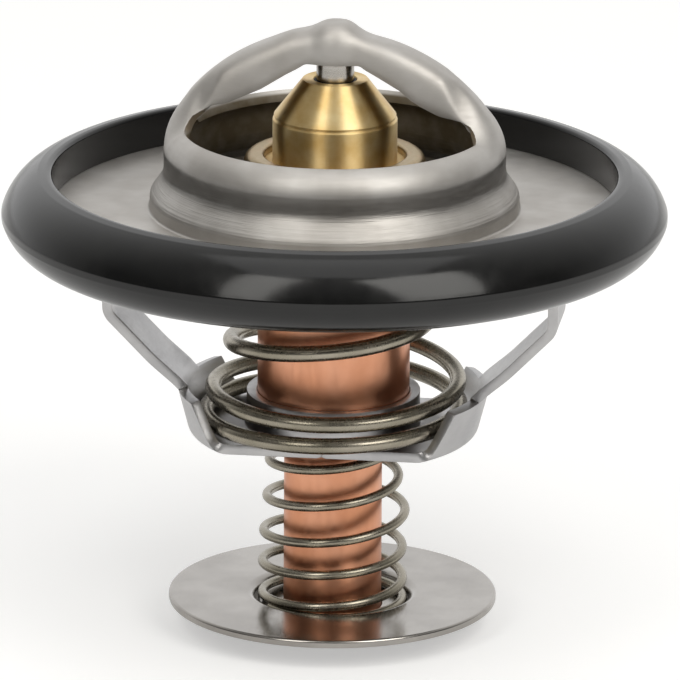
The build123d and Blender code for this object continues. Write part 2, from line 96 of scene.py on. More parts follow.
# ---------------------------------------------------------------- finishes
def linear(code):
    """A screen colour "#rrggbb" as the linear colour that a shader takes."""
    parts = [int(code[i : i + 2], 16) / 255 for i in (1, 3, 5)]
    lit = (p / 12.92 if p <= 0.04045 else ((p + 0.055) / 1.055) ** 2.4 for p in parts)
    return (*lit, 1.0)


def add(tree, kind, inputs, output=0, **settings):
    """Adds a node with its settings. An input is a value or a socket to link from. Gives one of
    its outputs."""
    node = tree.nodes.new("ShaderNode" + kind)
    for key, value in settings.items():
        setattr(node, key, value)
    for key, value in inputs.items():
        if isinstance(value, bpy.types.NodeSocket):
            tree.links.new(value, node.inputs[key])
        else:
            node.inputs[key].default_value = value
    return node.outputs[output] if len(node.outputs) else None


def start_finish(name):
    """An empty material, its node tree, and the place on the object in millimetres."""
    made = bpy.data.materials.new(name)
    made.use_nodes = True
    tree = made.node_tree
    tree.nodes.clear()
    metres = add(tree, "TexCoord", {}, "Object")
    place = add(tree, "VectorMath", {0: metres, "Scale": 1 / MM}, operation="SCALE")
    return made, tree, place


def end_finish(tree, sockets):
    """The shader with its sockets, and the material's output."""
    add(tree, "OutputMaterial", {"Surface": add(tree, "BsdfPrincipled", sockets)})


def stainless_drawn_sheet():
    """Stainless steel sheet, deep drawn and tumbled. The eye sees a soft warm grey with faint
    clouds, fine pits and rings of draw marks round the neck's foot. Inside the neck and on the cut
    edge a dull brown is painted on as shade, and the sheet is made less metallic there."""
    made, tree, place = start_finish("stainless_drawn_sheet")
    # Clouds in the oxide, 6 mm across.
    cloud = add(tree, "TexNoise", {"Vector": place, "Scale": 1 / 6, "Detail": 3.0})
    share = add(tree, "MapRange", {"Value": cloud, "From Min": 0.35, "From Max": 0.65})
    tone = add(
        tree, "Mix", {0: share, 6: linear("#cac7c3"), 7: linear("#b7b3ae")}, 2, data_type="RGBA"
    )
    up = add(tree, "SeparateXYZ", {0: place}, 2)
    flat = add(tree, "VectorMath", {0: place, 1: (1, 1, 0)}, operation="MULTIPLY")
    out = add(tree, "VectorMath", {0: flat}, "Value", operation="LENGTH")
    # Painted shade, a dull brown, lies on the inner side and the cut edge: nearer than the sheet's
    # outer skin to the middle of the shoulder's arc, measured outwards and upwards only.
    beyond = add(tree, "Math", {0: out, 1: NECK_R - SHOULDER_R}, operation="SUBTRACT")
    beyond = add(tree, "Math", {0: beyond, 1: 0.0}, operation="MAXIMUM")
    above = add(tree, "Math", {0: up, 1: SHOULDER_Z}, operation="SUBTRACT")
    above = add(tree, "Math", {0: above, 1: 0.0}, operation="MAXIMUM")
    reach = add(tree, "CombineXYZ", {0: beyond, 1: above})
    reach = add(tree, "VectorMath", {0: reach}, "Value", operation="LENGTH")
    inner, outer = SHOULDER_R - 0.55, SHOULDER_R - 0.3
    inner_shade = {"Value": reach, "From Min": inner, "From Max": outer, "To Min": 1.0, "To Max": 0.0}
    inner_shade = add(tree, "MapRange", inner_shade)
    patch = add(tree, "TexNoise", {"Vector": place, "Scale": 1 / 2, "Detail": 4.0})
    patch = add(tree, "MapRange", {"Value": patch, "From Min": 0.2, "From Max": 0.6, "To Min": 0.7})
    inner_shade = add(tree, "Math", {0: inner_shade, 1: patch}, operation="MULTIPLY")
    # Painted shade: a dull brown mixed in on the inner side and the cut edge, where the neck lies in
    # shade.
    tone = add(tree, "Mix", {0: inner_shade, 6: tone, 7: linear("#6d6350")}, 2, data_type="RGBA")
    # Draw marks: rings 0.3 to 0.6 mm apart, wandering by a millimetre over the turn.
    wander = add(tree, "TexNoise", {"Vector": place, "Scale": 1 / 4.5, "Detail": 2.0})
    along = add(tree, "Math", {0: up, 1: 2.2}, operation="MULTIPLY")
    rings = add(tree, "CombineXYZ", {0: out, 1: along, 2: wander})
    marks = add(
        tree, "TexNoise", {"Vector": rings, "Scale": 1 / 0.6, "Detail": 3.0, "Roughness": 0.7}
    )
    low = add(tree, "MapRange", {"Value": up, "From Min": 0.7, "From Max": 1.2})
    high = {"Value": up, "From Min": 4.2, "From Max": 5.4, "To Min": 1.0, "To Max": 0.12}
    high = add(tree, "MapRange", high)
    marks = add(tree, "Math", {0: marks, 1: low}, operation="MULTIPLY")
    marks = add(tree, "Math", {0: marks, 1: high}, operation="MULTIPLY")
    # Pits of the tumbling stones, really 0.05 mm across, drawn at 0.2 mm so that they show.
    pits = add(
        tree, "TexNoise", {"Vector": place, "Scale": 1 / 0.2, "Detail": 3.0, "Roughness": 0.65}
    )
    normal = add(tree, "Bump", {"Height": marks, "Distance": 0.05 * MM, "Strength": 1.0})
    normal = add(
        tree, "Bump", {"Height": pits, "Distance": 0.0022 * MM, "Strength": 1.0, "Normal": normal}
    )
    # The wall, ironed between punch and die, is glossier than the shoulder and arms above it and
    # the satin foot below.
    pulled = add(tree, "VectorMath", {0: place, 1: (0.5, 0.5, 3.0)}, operation="MULTIPLY")
    lines = add(tree, "TexNoise", {"Vector": pulled, "Scale": 1 / 0.8, "Detail": 4.0})
    lines = {"Value": lines, "From Min": 0.3, "From Max": 0.7, "To Min": -0.04, "To Max": 0.04}
    lines = add(tree, "MapRange", lines)
    over = {"Value": up, "From Min": IRONED_TOP - 0.12, "From Max": IRONED_TOP + 0.12}
    over = add(tree, "MapRange", over)
    foot = {"Value": up, "From Min": 3.4, "From Max": 4.6, "To Min": 1.0, "To Max": 0.0}
    satin = add(tree, "Math", {0: over, 1: add(tree, "MapRange", foot)}, operation="MAXIMUM")
    gloss = add(tree, "MapRange", {"Value": satin, "To Min": 0.34, "To Max": 0.52})
    gloss = add(tree, "Math", {0: gloss, 1: lines}, operation="ADD")
    # Where the shade is painted, the sheet is also made less metallic, so that it reads dull and
    # dark.
    metal = add(tree, "MapRange", {"Value": inner_shade, "To Min": 1.0, "To Max": 0.35})
    end_finish(tree, {"Base Color": tone, "Metallic": metal, "Roughness": gloss, "Normal": normal})
    return made


def rolled_steel(name, pale, dark, rough, along, grain):
    """Rolled or drawn mild steel. The eye sees an even grey with faint clouds 6 mm across and
    rolling lines under a millimetre wide, pulled out along one way, which break the gloss."""
    made, tree, place = start_finish(name)
    cloud = add(tree, "TexNoise", {"Vector": place, "Scale": 1 / 6, "Detail": 3.0})
    share = add(tree, "MapRange", {"Value": cloud, "From Min": 0.35, "From Max": 0.65})
    tone = add(tree, "Mix", {0: share, 6: linear(pale), 7: linear(dark)}, 2, data_type="RGBA")
    pulled = add(tree, "VectorMath", {0: place, 1: along}, operation="MULTIPLY")
    lines = add(
        tree, "TexNoise", {"Vector": pulled, "Scale": 1 / 0.8, "Detail": 4.0, "Roughness": 0.6}
    )
    gloss = {"Value": lines, "From Min": 0.3, "From Max": 0.7}
    gloss |= {"To Min": rough - 0.05, "To Max": rough + 0.05}
    gloss = add(tree, "MapRange", gloss)
    normal = add(tree, "Bump", {"Height": lines, "Distance": grain * MM, "Strength": 1.0})
    end_finish(tree, {"Base Color": tone, "Metallic": 1.0, "Roughness": gloss, "Normal": normal})
    return made


def turned_metal(name, pale, dark, rough, depth, stretch):
    """Metal turned in a lathe. Tool marks ring the axis, really 0.05 mm apart and drawn at 0.15 mm,
    so the eye sees highlights drawn out along the axis, over a tarnish in 2 mm patches."""
    made, tree, place = start_finish(name)
    flat = add(tree, "VectorMath", {0: place, 1: (1, 1, 0)}, operation="MULTIPLY")
    out = add(tree, "VectorMath", {0: flat}, "Value", operation="LENGTH")
    up = add(tree, "SeparateXYZ", {0: place}, 2)
    feed = add(tree, "CombineXYZ", {0: out, 1: up})
    rings = add(
        tree, "TexNoise", {"Vector": feed, "Scale": 1 / 0.15, "Detail": 4.0, "Roughness": 0.7}
    )
    cloud = add(tree, "TexNoise", {"Vector": place, "Scale": 1 / 2.2, "Detail": 4.0})
    share = add(tree, "MapRange", {"Value": cloud, "From Min": 0.3, "From Max": 0.7})
    tone = add(tree, "Mix", {0: share, 6: linear(pale), 7: linear(dark)}, 2, data_type="RGBA")
    gloss = {"Value": rings, "From Min": 0.3, "From Max": 0.7}
    gloss |= {"To Min": rough - 0.04, "To Max": rough + 0.05}
    gloss = add(tree, "MapRange", gloss)
    sockets = {
        "Base Color": tone,
        "Metallic": 1.0,
        "Roughness": gloss,
        "Normal": add(tree, "Bump", {"Height": rings, "Distance": depth * MM, "Strength": 1.0}),
        # A quarter turn lays the stretched highlight across the tool marks, up the axis.
        "Anisotropic": stretch,
        "Anisotropic Rotation": 0.25,
        "Tangent": add(tree, "Tangent", {}, direction_type="RADIAL", axis="Z"),
    }
    end_finish(tree, sockets)
    return made


def moulded_rubber(name, colour, bloom_colour, rough, specular):
    """Rubber moulded in a satin steel mould. The eye sees near-black with a faint grey bloom of wax
    in 3 mm patches, soft waves over a millimetre, and the mould's skin, drawn at 0.2 mm."""
    made, tree, place = start_finish(name)
    bloom = add(
        tree, "TexNoise", {"Vector": place, "Scale": 1 / 3, "Detail": 4.0, "Roughness": 0.6}
    )
    share = add(tree, "MapRange", {"Value": bloom, "From Min": 0.42, "From Max": 0.78})
    tone = add(
        tree, "Mix", {0: share, 6: linear(colour), 7: linear(bloom_colour)}, 2, data_type="RGBA"
    )
    gloss = {"Value": bloom, "From Min": 0.3, "From Max": 0.7}
    gloss |= {"To Min": rough - 0.03, "To Max": rough + 0.05}
    gloss = add(tree, "MapRange", gloss)
    waves = add(tree, "TexNoise", {"Vector": place, "Scale": 1 / 1.3, "Detail": 2.0})
    skin = add(tree, "TexNoise", {"Vector": place, "Scale": 1 / 0.2, "Detail": 3.0})
    normal = add(tree, "Bump", {"Height": waves, "Distance": 0.004 * MM, "Strength": 1.0})
    normal = add(
        tree, "Bump", {"Height": skin, "Distance": 0.001 * MM, "Strength": 1.0, "Normal": normal}
    )
    sockets = {"Base Color": tone, "Roughness": gloss, "Normal": normal}
    end_finish(tree, sockets | {"Specular IOR Level": specular})
    return made


def pressed_filling(name, pale, dark, rough):
    """Wax or fluoroplastic pressed into the cup, which shows only in a section. The eye sees a
    dull, slightly see-through mottle in 1 mm patches."""
    made, tree, place = start_finish(name)
    mottle = add(tree, "TexNoise", {"Vector": place, "Scale": 1.0, "Detail": 4.0})
    tone = add(tree, "Mix", {0: mottle, 6: linear(pale), 7: linear(dark)}, 2, data_type="RGBA")
    gloss = {"Value": mottle, "From Min": 0.3, "From Max": 0.7}
    gloss |= {"To Min": rough - 0.06, "To Max": rough + 0.06}
    gloss = add(tree, "MapRange", gloss)
    normal = add(tree, "Bump", {"Height": mottle, "Distance": 0.01 * MM, "Strength": 1.0})
    end_finish(
        tree, {"Base Color": tone, "Roughness": gloss, "Normal": normal, "Subsurface Weight": 0.1}
    )
    return made


def deep_drawn_copper():
    """Copper drawn into a cup and left bare. The eye sees a satin salmon tone with faint streaks up
    the cup half a millimetre wide, and a thin tinned wash that pales the rolled rim to straw."""
    made, tree, place = start_finish("deep_drawn_copper")
    cloud = add(tree, "TexNoise", {"Vector": place, "Scale": 1 / 5, "Detail": 3.0})
    share = add(tree, "MapRange", {"Value": cloud, "From Min": 0.35, "From Max": 0.65})
    tone = add(
        tree, "Mix", {0: share, 6: linear("#e8a988"), 7: linear("#dd9a76")}, 2, data_type="RGBA"
    )
    up = add(tree, "SeparateXYZ", {0: place}, 2)
    wash = add(tree, "MapRange", {"Value": up, "From Min": 2.6, "From Max": 3.6})
    patch = add(tree, "TexNoise", {"Vector": place, "Scale": 1 / 1.4, "Detail": 3.0})
    patch = add(
        tree, "MapRange", {"Value": patch, "From Min": 0.25, "From Max": 0.5, "To Min": 0.8}
    )
    wash = add(tree, "Math", {0: wash, 1: patch}, operation="MULTIPLY")
    tone = add(tree, "Mix", {0: wash, 6: tone, 7: linear("#b3a180")}, 2, data_type="RGBA")
    pulled = add(tree, "VectorMath", {0: place, 1: (2.0, 2.0, 0.3)}, operation="MULTIPLY")
    streaks = add(tree, "TexNoise", {"Vector": pulled, "Scale": 1.0, "Detail": 4.0})
    gloss = {"Value": streaks, "From Min": 0.3, "From Max": 0.7, "To Min": 0.3, "To Max": 0.4}
    gloss = add(tree, "MapRange", gloss)
    normal = add(tree, "Bump", {"Height": streaks, "Distance": 0.003 * MM, "Strength": 1.0})
    end_finish(tree, {"Base Color": tone, "Metallic": 1.0, "Roughness": gloss, "Normal": normal})
    return made


STAINLESS = stainless_drawn_sheet()
SEAL_RUBBER = moulded_rubber("nitrile_seal_rubber", "#0a0a0a", "#131312", 0.15, 0.45)
PISTON_STEEL = turned_metal("ground_piston_steel", "#b8b4ae", "#aaa6a0", 0.24, 0.001, 0.0)
BRASS = turned_metal("turned_brass", "#f0d9a4", "#dcb978", 0.44, 0.0012, 0.95)
COPPER = deep_drawn_copper()
WIPER_RUBBER = moulded_rubber("wiper_rubber", "#0d0c0a", "#171612", 0.5, 0.3)
BOOT_RUBBER = moulded_rubber("boot_rubber", "#121111", "#1f1f1e", 0.55, 0.4)
FLUOROPLASTIC = pressed_filling("fluoroplastic_washer", "#e9e7e1", "#dcd9d1", 0.4)
WAX = pressed_filling("copper_filled_wax", "#b3744c", "#9a5f3d", 0.55)
VALVE_STEEL = rolled_steel("valve_plate_steel", "#a89d8b", "#8f8472", 0.34, (1, 1, 1), 0.004)
VALVE_RUBBER = moulded_rubber("valve_seal_rubber", "#141310", "#1f1f1c", 0.5, 0.4)
SPRING_STEEL = rolled_steel("spring_wire_steel", "#a59e90", "#8d8778", 0.27, (1, 1, 0.5), 0.001)
CAGE_STEEL = rolled_steel("zinc_plated_cage_steel", "#bcbbbb", "#abaaab", 0.33, (1, 1, 4), 0.005)
DISC_STEEL = rolled_steel("polished_disc_steel", "#aeaaa5", "#9d9994", 0.18, (3, 0.5, 1), 0.002)


# ---------------------------------------------------------------- ways to make a surface
def rounded(corners, step=7.5):
    """A closed outline in (distance from the axis, height), run with the solid on its left. Each
    corner (r, z, bend) becomes an arc of radius bend that touches the straights on both sides:
    centre + bend (sin w, -cos w), w turning from the way in to the way out. Gives the points and
    the outward normals."""
    points, normals = [], []
    for i, (r, z, bend) in enumerate(corners):
        here = np.array([r, z], float)
        before = here - np.array(corners[i - 1][:2], float)
        after = np.array(corners[(i + 1) % len(corners)][:2], float) - here
        before /= np.linalg.norm(before)
        after /= np.linalg.norm(after)
        turn = math.atan2(before[0] * after[1] - before[1] * after[0], before @ after)
        if bend == 0 or abs(turn) < 1e-4:
            run = before if i and corners[i - 1][0] > 0 else after
            points.append(here[None])
            normals.append(np.array([[run[1], -run[0]]]))
            continue
        side = math.copysign(1.0, turn)
        centre = here - before * bend * math.tan(abs(turn) / 2)
        centre = centre + side * bend * np.array([-before[1], before[0]])
        steps = max(2, math.ceil(math.degrees(abs(turn)) / step))
        way = math.atan2(before[1], before[0]) + turn * np.linspace(0, 1, steps + 1)
        out = np.stack([np.sin(way), -np.cos(way)], axis=1)
        points.append(centre + side * bend * out)
        normals.append(out)
    return np.concatenate(points), np.concatenate(normals)


def bowed(start, end, bulge, count=9):
    """Corners from start to end along a circle that stands out by bulge to the right of the way."""
    first, last = np.array(start[:2]), np.array(end[:2])
    chord = np.linalg.norm(last - first)
    way = (last - first) / chord
    out = np.array([way[1], -way[0]])
    radius = (chord**2 / 4 + bulge**2) / (2 * bulge)
    centre = (first + last) / 2 - out * (radius - bulge)
    turns = np.linspace(-1, 1, count) * math.asin(chord / 2 / radius)
    points = centre + radius * (np.cos(turns)[:, None] * out + np.sin(turns)[:, None] * way)
    return [start, *((r, z, radius) for r, z in points[1:-1]), end]


def divided(corners, step, longest):
    """An open side view as points (n, 2): the corners rounded, and each run cut into equal parts no
    longer than longest. The last two corners only close the outline and are dropped."""
    line = rounded(corners, step)[0][:-2]
    run = np.diff(line, axis=0)
    parts = np.ceil(np.linalg.norm(run, axis=1) / longest).astype(int)
    which = np.repeat(np.arange(len(run)), parts)
    share = (np.arange(parts.sum()) - np.repeat(np.cumsum(parts) - parts, parts)) / parts[which]
    return np.concatenate([line[which] + run[which] * share[:, None], line[-1:]])


def quads(index, close_rows=False, close_columns=False):
    """Faces between neighbours in a grid of vertex numbers: here, next column, both, next row."""
    if close_rows:
        index = np.concatenate([index, index[:1]])
    if close_columns:
        index = np.concatenate([index, index[:, :1]], axis=1)
    around = [index[:-1, :-1], index[:-1, 1:], index[1:, 1:], index[1:, :-1]]
    return np.stack(around, axis=-1).reshape(-1, 4)


def turned(corners, steps):
    """The outline turned about the axis: (r(s) cos a, r(s) sin a, z(s)) over s and a, with each
    point on the axis kept once. Gives points, faces and outward normals."""
    outline, out = rounded(corners)
    a = 2 * math.pi * np.arange(steps) / steps
    r, z = outline[:, :1], outline[:, 1:]
    points = np.stack([r * np.cos(a), r * np.sin(a), z + 0 * a], axis=-1).reshape(-1, 3)
    normals = [out[:, :1] * np.cos(a), out[:, :1] * np.sin(a), out[:, 1:] + 0 * a]
    normals = np.stack(normals, axis=-1)
    index = np.arange(len(points)).reshape(len(outline), steps)
    index = np.where(r > 0, index, index[:, :1])
    return points, quads(index, True, True), normals.reshape(-1, 3)


def walled(points, faces, thickness):
    """A closed wall: the surface, the same surface moved inwards by the thickness along its vertex
    normals, and a strip along each open edge."""
    corner = points[faces]
    flat = np.cross(corner[:, 2] - corner[:, 0], corner[:, 3] - corner[:, 1])
    normals = np.zeros_like(points)
    np.add.at(normals, faces, flat[:, None])
    normals /= np.linalg.norm(normals, axis=1)[:, None]
    count = len(points)
    here, there = faces.ravel(), np.roll(faces, -1, axis=1).ravel()
    alone = ~np.isin(here * count + there, there * count + here)
    here, there = here[alone], there[alone]
    rim = np.stack([there, here, here + count, there + count], axis=1)
    both = np.concatenate([points, points - thickness * normals])
    return both, np.concatenate([faces, faces[:, ::-1] + count, rim])


def mesh_piece(name, points, faces, material, body, replaced, normals=None):
    """A smooth mesh in the row frame, which rides on its body when that is given by name and is
    baked in place otherwise, and stands for the CAD node. A face that a pole has pinched becomes a
    triangle, and points that no face uses are left out."""
    pinched = faces == np.roll(faces, -1, axis=1)
    faces = faces[pinched.sum(axis=1) < 2]
    used, faces = np.unique(faces, return_inverse=True)
    faces = faces.reshape(-1, 4)
    pinched = faces == np.roll(faces, -1, axis=1)
    narrow = pinched.any(axis=1)
    listed = faces[~narrow].tolist() + faces[narrow][~pinched[narrow]].reshape(-1, 3).tolist()
    mesh = bpy.data.meshes.new(name)
    mesh.from_pydata((points[used] * MM).tolist(), [], listed)
    mesh.shade_smooth()
    if normals is not None:
        mesh.normals_split_custom_set_from_vertices(normals[used].tolist())
    mesh.materials.append(material)
    made = bpy.data.objects.new(name, mesh)
    bpy.context.scene.collection.objects.link(made)
    if isinstance(body, str):
        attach(made, body)
    else:
        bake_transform(made)
    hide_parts(replaced)
    return made


def ease_edges(piece, width):
    """Rounds the sheared edges of a sheet piece by that width."""
    edge = piece.modifiers.new("eased edges", "BEVEL")
    edge.width = width * MM
    edge.segments = 2
    edge.limit_method = "ANGLE"
    edge.angle_limit = math.radians(50)


def turned_piece(name, corners, material, body, replaced, steps=192):
    """A turned, drawn or moulded ring, as its outline turned about the axis."""
    points, faces, normals = turned(corners, steps)
    return mesh_piece(name, points, faces, material, body, replaced, normals)


# ---------------------------------------------------------------- turned, drawn and moulded pieces
# The ring's cheeks bow out to a blunt rim, with a groove round the flange's edge.
turned_piece(
    "seal_ring_rubber",
    bowed((29.76, -3.65, 0.5), (33.5, -0.33, 0.5), 0.74)
    + bowed((33.5, 0.33, 0.8), (29.87, 4.25, 0.8), 0.62)
    + [(29.0, 4.4, 1.0), (SEAL_BORE_R, 4.3, 0.4)]
    + [(SEAL_BORE_R, SHEET / 2, EASED), (FLANGE_R, SHEET / 2, EASED)]
    + [(FLANGE_R, -SHEET / 2, EASED), (SEAL_BORE_R, -SHEET / 2, EASED)]
    + [(SEAL_BORE_R, -3.4, 0.5), (29.0, -3.5, 0.6)],
    SEAL_RUBBER,
    "frame",
    "seal_ring",
    256,
)
# Ground pin, tapered to a rounded tip inside the boot.
turned_piece(
    "piston_pin",
    [(0, -9, 0), (1.35, -9, 0.2), (PIN_R, -6.5, 0.5), (PIN_R, 18.38, 0.1), (0, 18.38, 0)],
    PISTON_STEEL,
    "frame",
    "piston",
    96,
)
# Guide with its flange gripped by the cup's rim, a fine groove under the cone, and a nose socket.
turned_piece(
    "guide_turned_brass",
    [
        (GUIDE_BORE_R, 5.2, 0.05),
        (3.43, 5.2, 0.05),
        (3.43, 4.6, 0.05),
        (8.2, 4.6, EASED),
        (8.2, 5.4, EASED),
        (6.27, 5.4, 0.1),
        (6.27, 9.86, 0.1),
        (6.05, 9.98, 0.06),
        (6.05, 10.2, 0.06),
        (6.2, 10.22, 0.06),
        (3.46, 13.78, 0.12),
        (3.28, 14.0, 0.08),
        (2.2, 14.0, 0.1),
        (2.2, 13.72, 0.05),
        (2.6, 13.5, 0.05),
        (2.6, 12.7, 0.05),
        (GUIDE_BORE_R, 12.7, 0.05),
    ],
    BRASS,
    "element",
    "piston_guide",
)
# Wiper with a lip that stands up round the pin.
turned_piece(
    "nose_wiper_ring",
    [
        (2.35, 12.7, 0.05),
        (2.57, 12.7, 0.05),
        (2.57, 13.5, 0.05),
        (2.17, 13.72, 0.05),
        (2.12, 13.9, 0.05),
        (1.93, 13.9, 0.05),
        (1.93, 13.1, 0.05),
    ],
    WIPER_RUBBER,
    "element",
    "nose_wiper",
    96,
)
# Cup with its rim rolled over the guide's flange and a slimmer tail below the shoulder.
turned_piece(
    "element_copper_cup",
    [
        (0, STANDING_Z, 0),
        (4.57, STANDING_Z, 0.1),
        (TAIL_R, -42.8, 0.15),
        (TAIL_R, CUP_FOOT_Z, 0.35),
        (7.69, CUP_FOOT_Z, 0.9),
        (7.69, 3.4, 0.25),
        (9.14, 3.4, 0.5),
        (9.14, 6.3, 0.95),
        (7.1, 6.3, 0.4),
        (7.1, 5.4, 0.08),
        (8.23, 5.4, 0.05),
        (8.23, 4.2, 0.08),
        (6.89, 4.2, 0.1),
        (6.89, -18.8, 0.3),
        (4.17, -18.8, 0.3),
        (4.17, -37.0, 0.3),
        (0, -37.0, 0),
    ],
    COPPER,
    "element",
    "element_cup",
)
# Valve plate: a flat hub, a cone and a flat rim, pressed from one blank.
turned_piece(
    "valve_pressed_plate",
    [
        (7.75, HUB_Z, EASED),
        (10.5, HUB_Z, 0.6),
        (13.5, -1.4, 1.6),
        (16.6, -1.4, EASED),
        (16.6, -0.4, EASED),
        (14.0, -0.4, 0.6),
        (11.0, 3.4, 1.6),
        (7.75, 3.4, EASED),
    ],
    VALVE_STEEL,
    "element",
    "valve_plate",
)
# Rubber moulded round the plate's rim.
turned_piece(
    "valve_moulded_seal",
    [
        (14.8, -2.1, 0.3),
        (18.0, -2.1, 0.25),
        (18.0, -0.9, 0.3),
        (17.1, 0.3, 0.6),
        (14.8, 0.3, 0.3),
        (14.8, -0.4, 0.03),
        (16.6, -0.4, 0.05),
        (16.6, -1.4, 0.05),
        (14.8, -1.4, 0.03),
    ],
    VALVE_RUBBER,
    "element",
    "valve_seal",
)
# Bypass disc with the pressed recess that the spring stands in.
turned_piece(
    "bypass_disc_sheet",
    [
        (5.03, -42.0, EASED),
        (8.4, -42.0, 0.9),
        (8.9, -40.7, 0.6),
        (16.63, -40.7, 0.2),
        (16.63, -39.9, 0.28),
        (8.1, -39.9, 0.9),
        (7.6, RECESS_Z, 0.5),
        (5.03, RECESS_Z, EASED),
    ],
    DISC_STEEL,
    "bypass",
    "bypass_disc",
    256,
)
# Lock washer pressed on the tail's end.
turned_piece(
    "lock_washer_ring",
    [
        (TAIL_R, STANDING_Z, EASED),
        (7.6, STANDING_Z, 0.25),
        (7.6, -42.0, 0.25),
        (TAIL_R, -42.0, EASED),
    ],
    CAGE_STEEL,
    "element",
    "lock_washer",
)


# ---------------------------------------------------------------- springs
def wound_spring(name, stations, start_angle, wire, body, replaced, per_turn, sides):
    """Round wire along a right-hand coil: line(t) + wire/2 (cos u side(t) + sin u over(t)), where
    line(t) = (R cos a, R sin a, z) with a growing a full circle a turn. R and z run between the
    stations (turns, radius, height), evened out over a fifth of a turn, and the cut ends are flat
    with a small bevel."""
    table = np.array(stations)
    turns = np.linspace(0, table[-1, 0], round(table[-1, 0] * per_turn) + 1)
    nearby = turns + np.linspace(-0.1, 0.1, 17)[:, None]
    radius = np.interp(nearby, table[:, 0], table[:, 1]).mean(axis=0)
    height = np.interp(nearby, table[:, 0], table[:, 2]).mean(axis=0)
    angle = math.radians(start_angle) + 2 * math.pi * turns
    line = np.stack([radius * np.cos(angle), radius * np.sin(angle), height], axis=1)
    along = np.gradient(line, axis=0)
    along /= np.linalg.norm(along, axis=1)[:, None]
    side = np.stack([np.cos(angle), np.sin(angle), 0 * angle], axis=1)
    side -= (side * along).sum(1)[:, None] * along
    side /= np.linalg.norm(side, axis=1)[:, None]
    over = np.cross(side, along)
    half, bevel, middle = wire / 2, 0.06 * wire, len(turns) - 2
    at = np.concatenate([[0, 0, 0], np.arange(1, middle + 1), [-1, -1, -1]])
    size = np.concatenate([[0, half - bevel, half], np.full(middle, half), [half, half - bevel, 0]])
    inset = np.concatenate([[0, 0, bevel], np.zeros(middle), [-bevel, 0, 0]])
    facing = np.concatenate([[-1, -1, 0], np.zeros(middle), [0, 1, 1]])
    u = 2 * math.pi * np.arange(sides)[:, None] / sides
    rim = np.cos(u) * side[at][:, None] + np.sin(u) * over[at][:, None]
    points = line[at][:, None] + inset[:, None, None] * along[at][:, None]
    points = points + size[:, None, None] * rim
    normals = np.where(facing[:, None, None] == 0, rim, facing[:, None, None] * along[at][:, None])
    index = np.arange(len(at) * sides).reshape(len(at), sides)
    index = np.where(size[:, None] > 0, index, index[:, :1])
    faces = quads(index, close_columns=True)[:, ::-1]
    return mesh_piece(
        name,
        points.reshape(-1, 3),
        faces,
        SPRING_STEEL,
        body,
        replaced,
        normals.reshape(-1, 3),
    )


# The main spring widens to its floor in the cage, where the coils sag a little to the front.
low = SEAT_Z + SPRING_GAP + MAIN_WIRE / 2
high = HUB_Z - SPRING_GAP - MAIN_WIRE / 2
wound_spring(
    "main_spring_wire",
    [
        (0, 12.9, low),
        (0.27, 12.9, low + 0.2),
        (0.52, 12.9, low + 0.45),
        (0.77, 12.8, low + 0.95),
        (1.02, 12.4, low + 2.1),
        (1.27, 12.1, low + 2.95),
        (1.52, 12.45, low + 2.35),
        (1.77, 12.75, low + 3.55),
        (2.02, 11.7, low + 5.7),
        (2.27, 10.25, low + 7.65),
        (2.52, 9.95, low + 9.45),
        (4.4, 9.9, high - CLOSED_PITCH * MAIN_WIRE),
        (4.65, 9.9, high),
        (5.4, 9.9, high),
    ],
    MAIN_START,
    MAIN_WIRE,
    ("frame", "element", (0, 0, SEAT_Z * MM), (0, 0, HUB_Z * MM)),
    "main_spring",
    112,
    18,
)
# The bypass spring widens from the cup's shoulder to the disc, and its pitch closes downwards.
low = RECESS_Z + SPRING_GAP + BYPASS_WIRE / 2
high = CUP_FOOT_Z - SPRING_GAP - BYPASS_WIRE / 2
wound_spring(
    "bypass_spring_wire",
    [
        (0, 7.1, low),
        (0.75, 7.1, low),
        (1.17, 7.1, low + 1.25),
        (1.92, 7.1, -36.75),
        (2.17, 7.1, -36.05),
        (2.92, 7.0, -33.5),
        (3.17, 7.0, -32.65),
        (3.42, 7.4, -31.2),
        (3.92, 6.65, -29.85),
        (4.17, 6.65, -28.9),
        (4.42, 6.65, -27.6),
        (4.92, 6.45, -25.95),
        (5.17, 6.4, -25.1),
        (5.42, 6.35, -23.9),
        (6.2, 6.3, high - CLOSED_PITCH * BYPASS_WIRE),
        (6.45, 6.3, high),
        (7.17, 6.3, high),
    ],
    BYPASS_START,
    BYPASS_WIRE,
    ("element", "bypass", (0, 0, CUP_FOOT_Z * MM), (0, 0, RECESS_Z * MM)),
    "bypass_spring",
    96,
    14,
)


# ---------------------------------------------------------------- frame
def smooth(x, low, high):
    """Rises from 0 at low to 1 at high, 3 t^2 - 2 t^3."""
    t = np.clip((x - low) / (high - low), 0, 1)
    return t * t * (3 - 2 * t)


# Lower edge of the arms' hanging sides, (place along the arms, height). The two roots differ a
# little.
ARM_FOOT = np.array(
    [(-15, 9.2), (-14.2, 9.7), (-13.7, 10.4), (-13.3, 11.2), (-12.6, 11.5), (-11.1, 11.6)]
    + [(-10.4, 11.8), (-9.4, 12.3), (-7.2, 13.3), (-4.7, 14.85), (-3.5, 15.5), (-2.75, 16.0)]
    + [(0, 16.0), (2.75, 16.0), (3.3, 15.6), (4.9, 14.75), (6.8, 13.7), (8.0, 12.7), (9.2, 12.0)]
    + [(10.6, 11.3), (12.0, 10.9), (12.6, 10.6), (13.5, 9.9), (14.2, 9.3), (15, 8.8)]
)


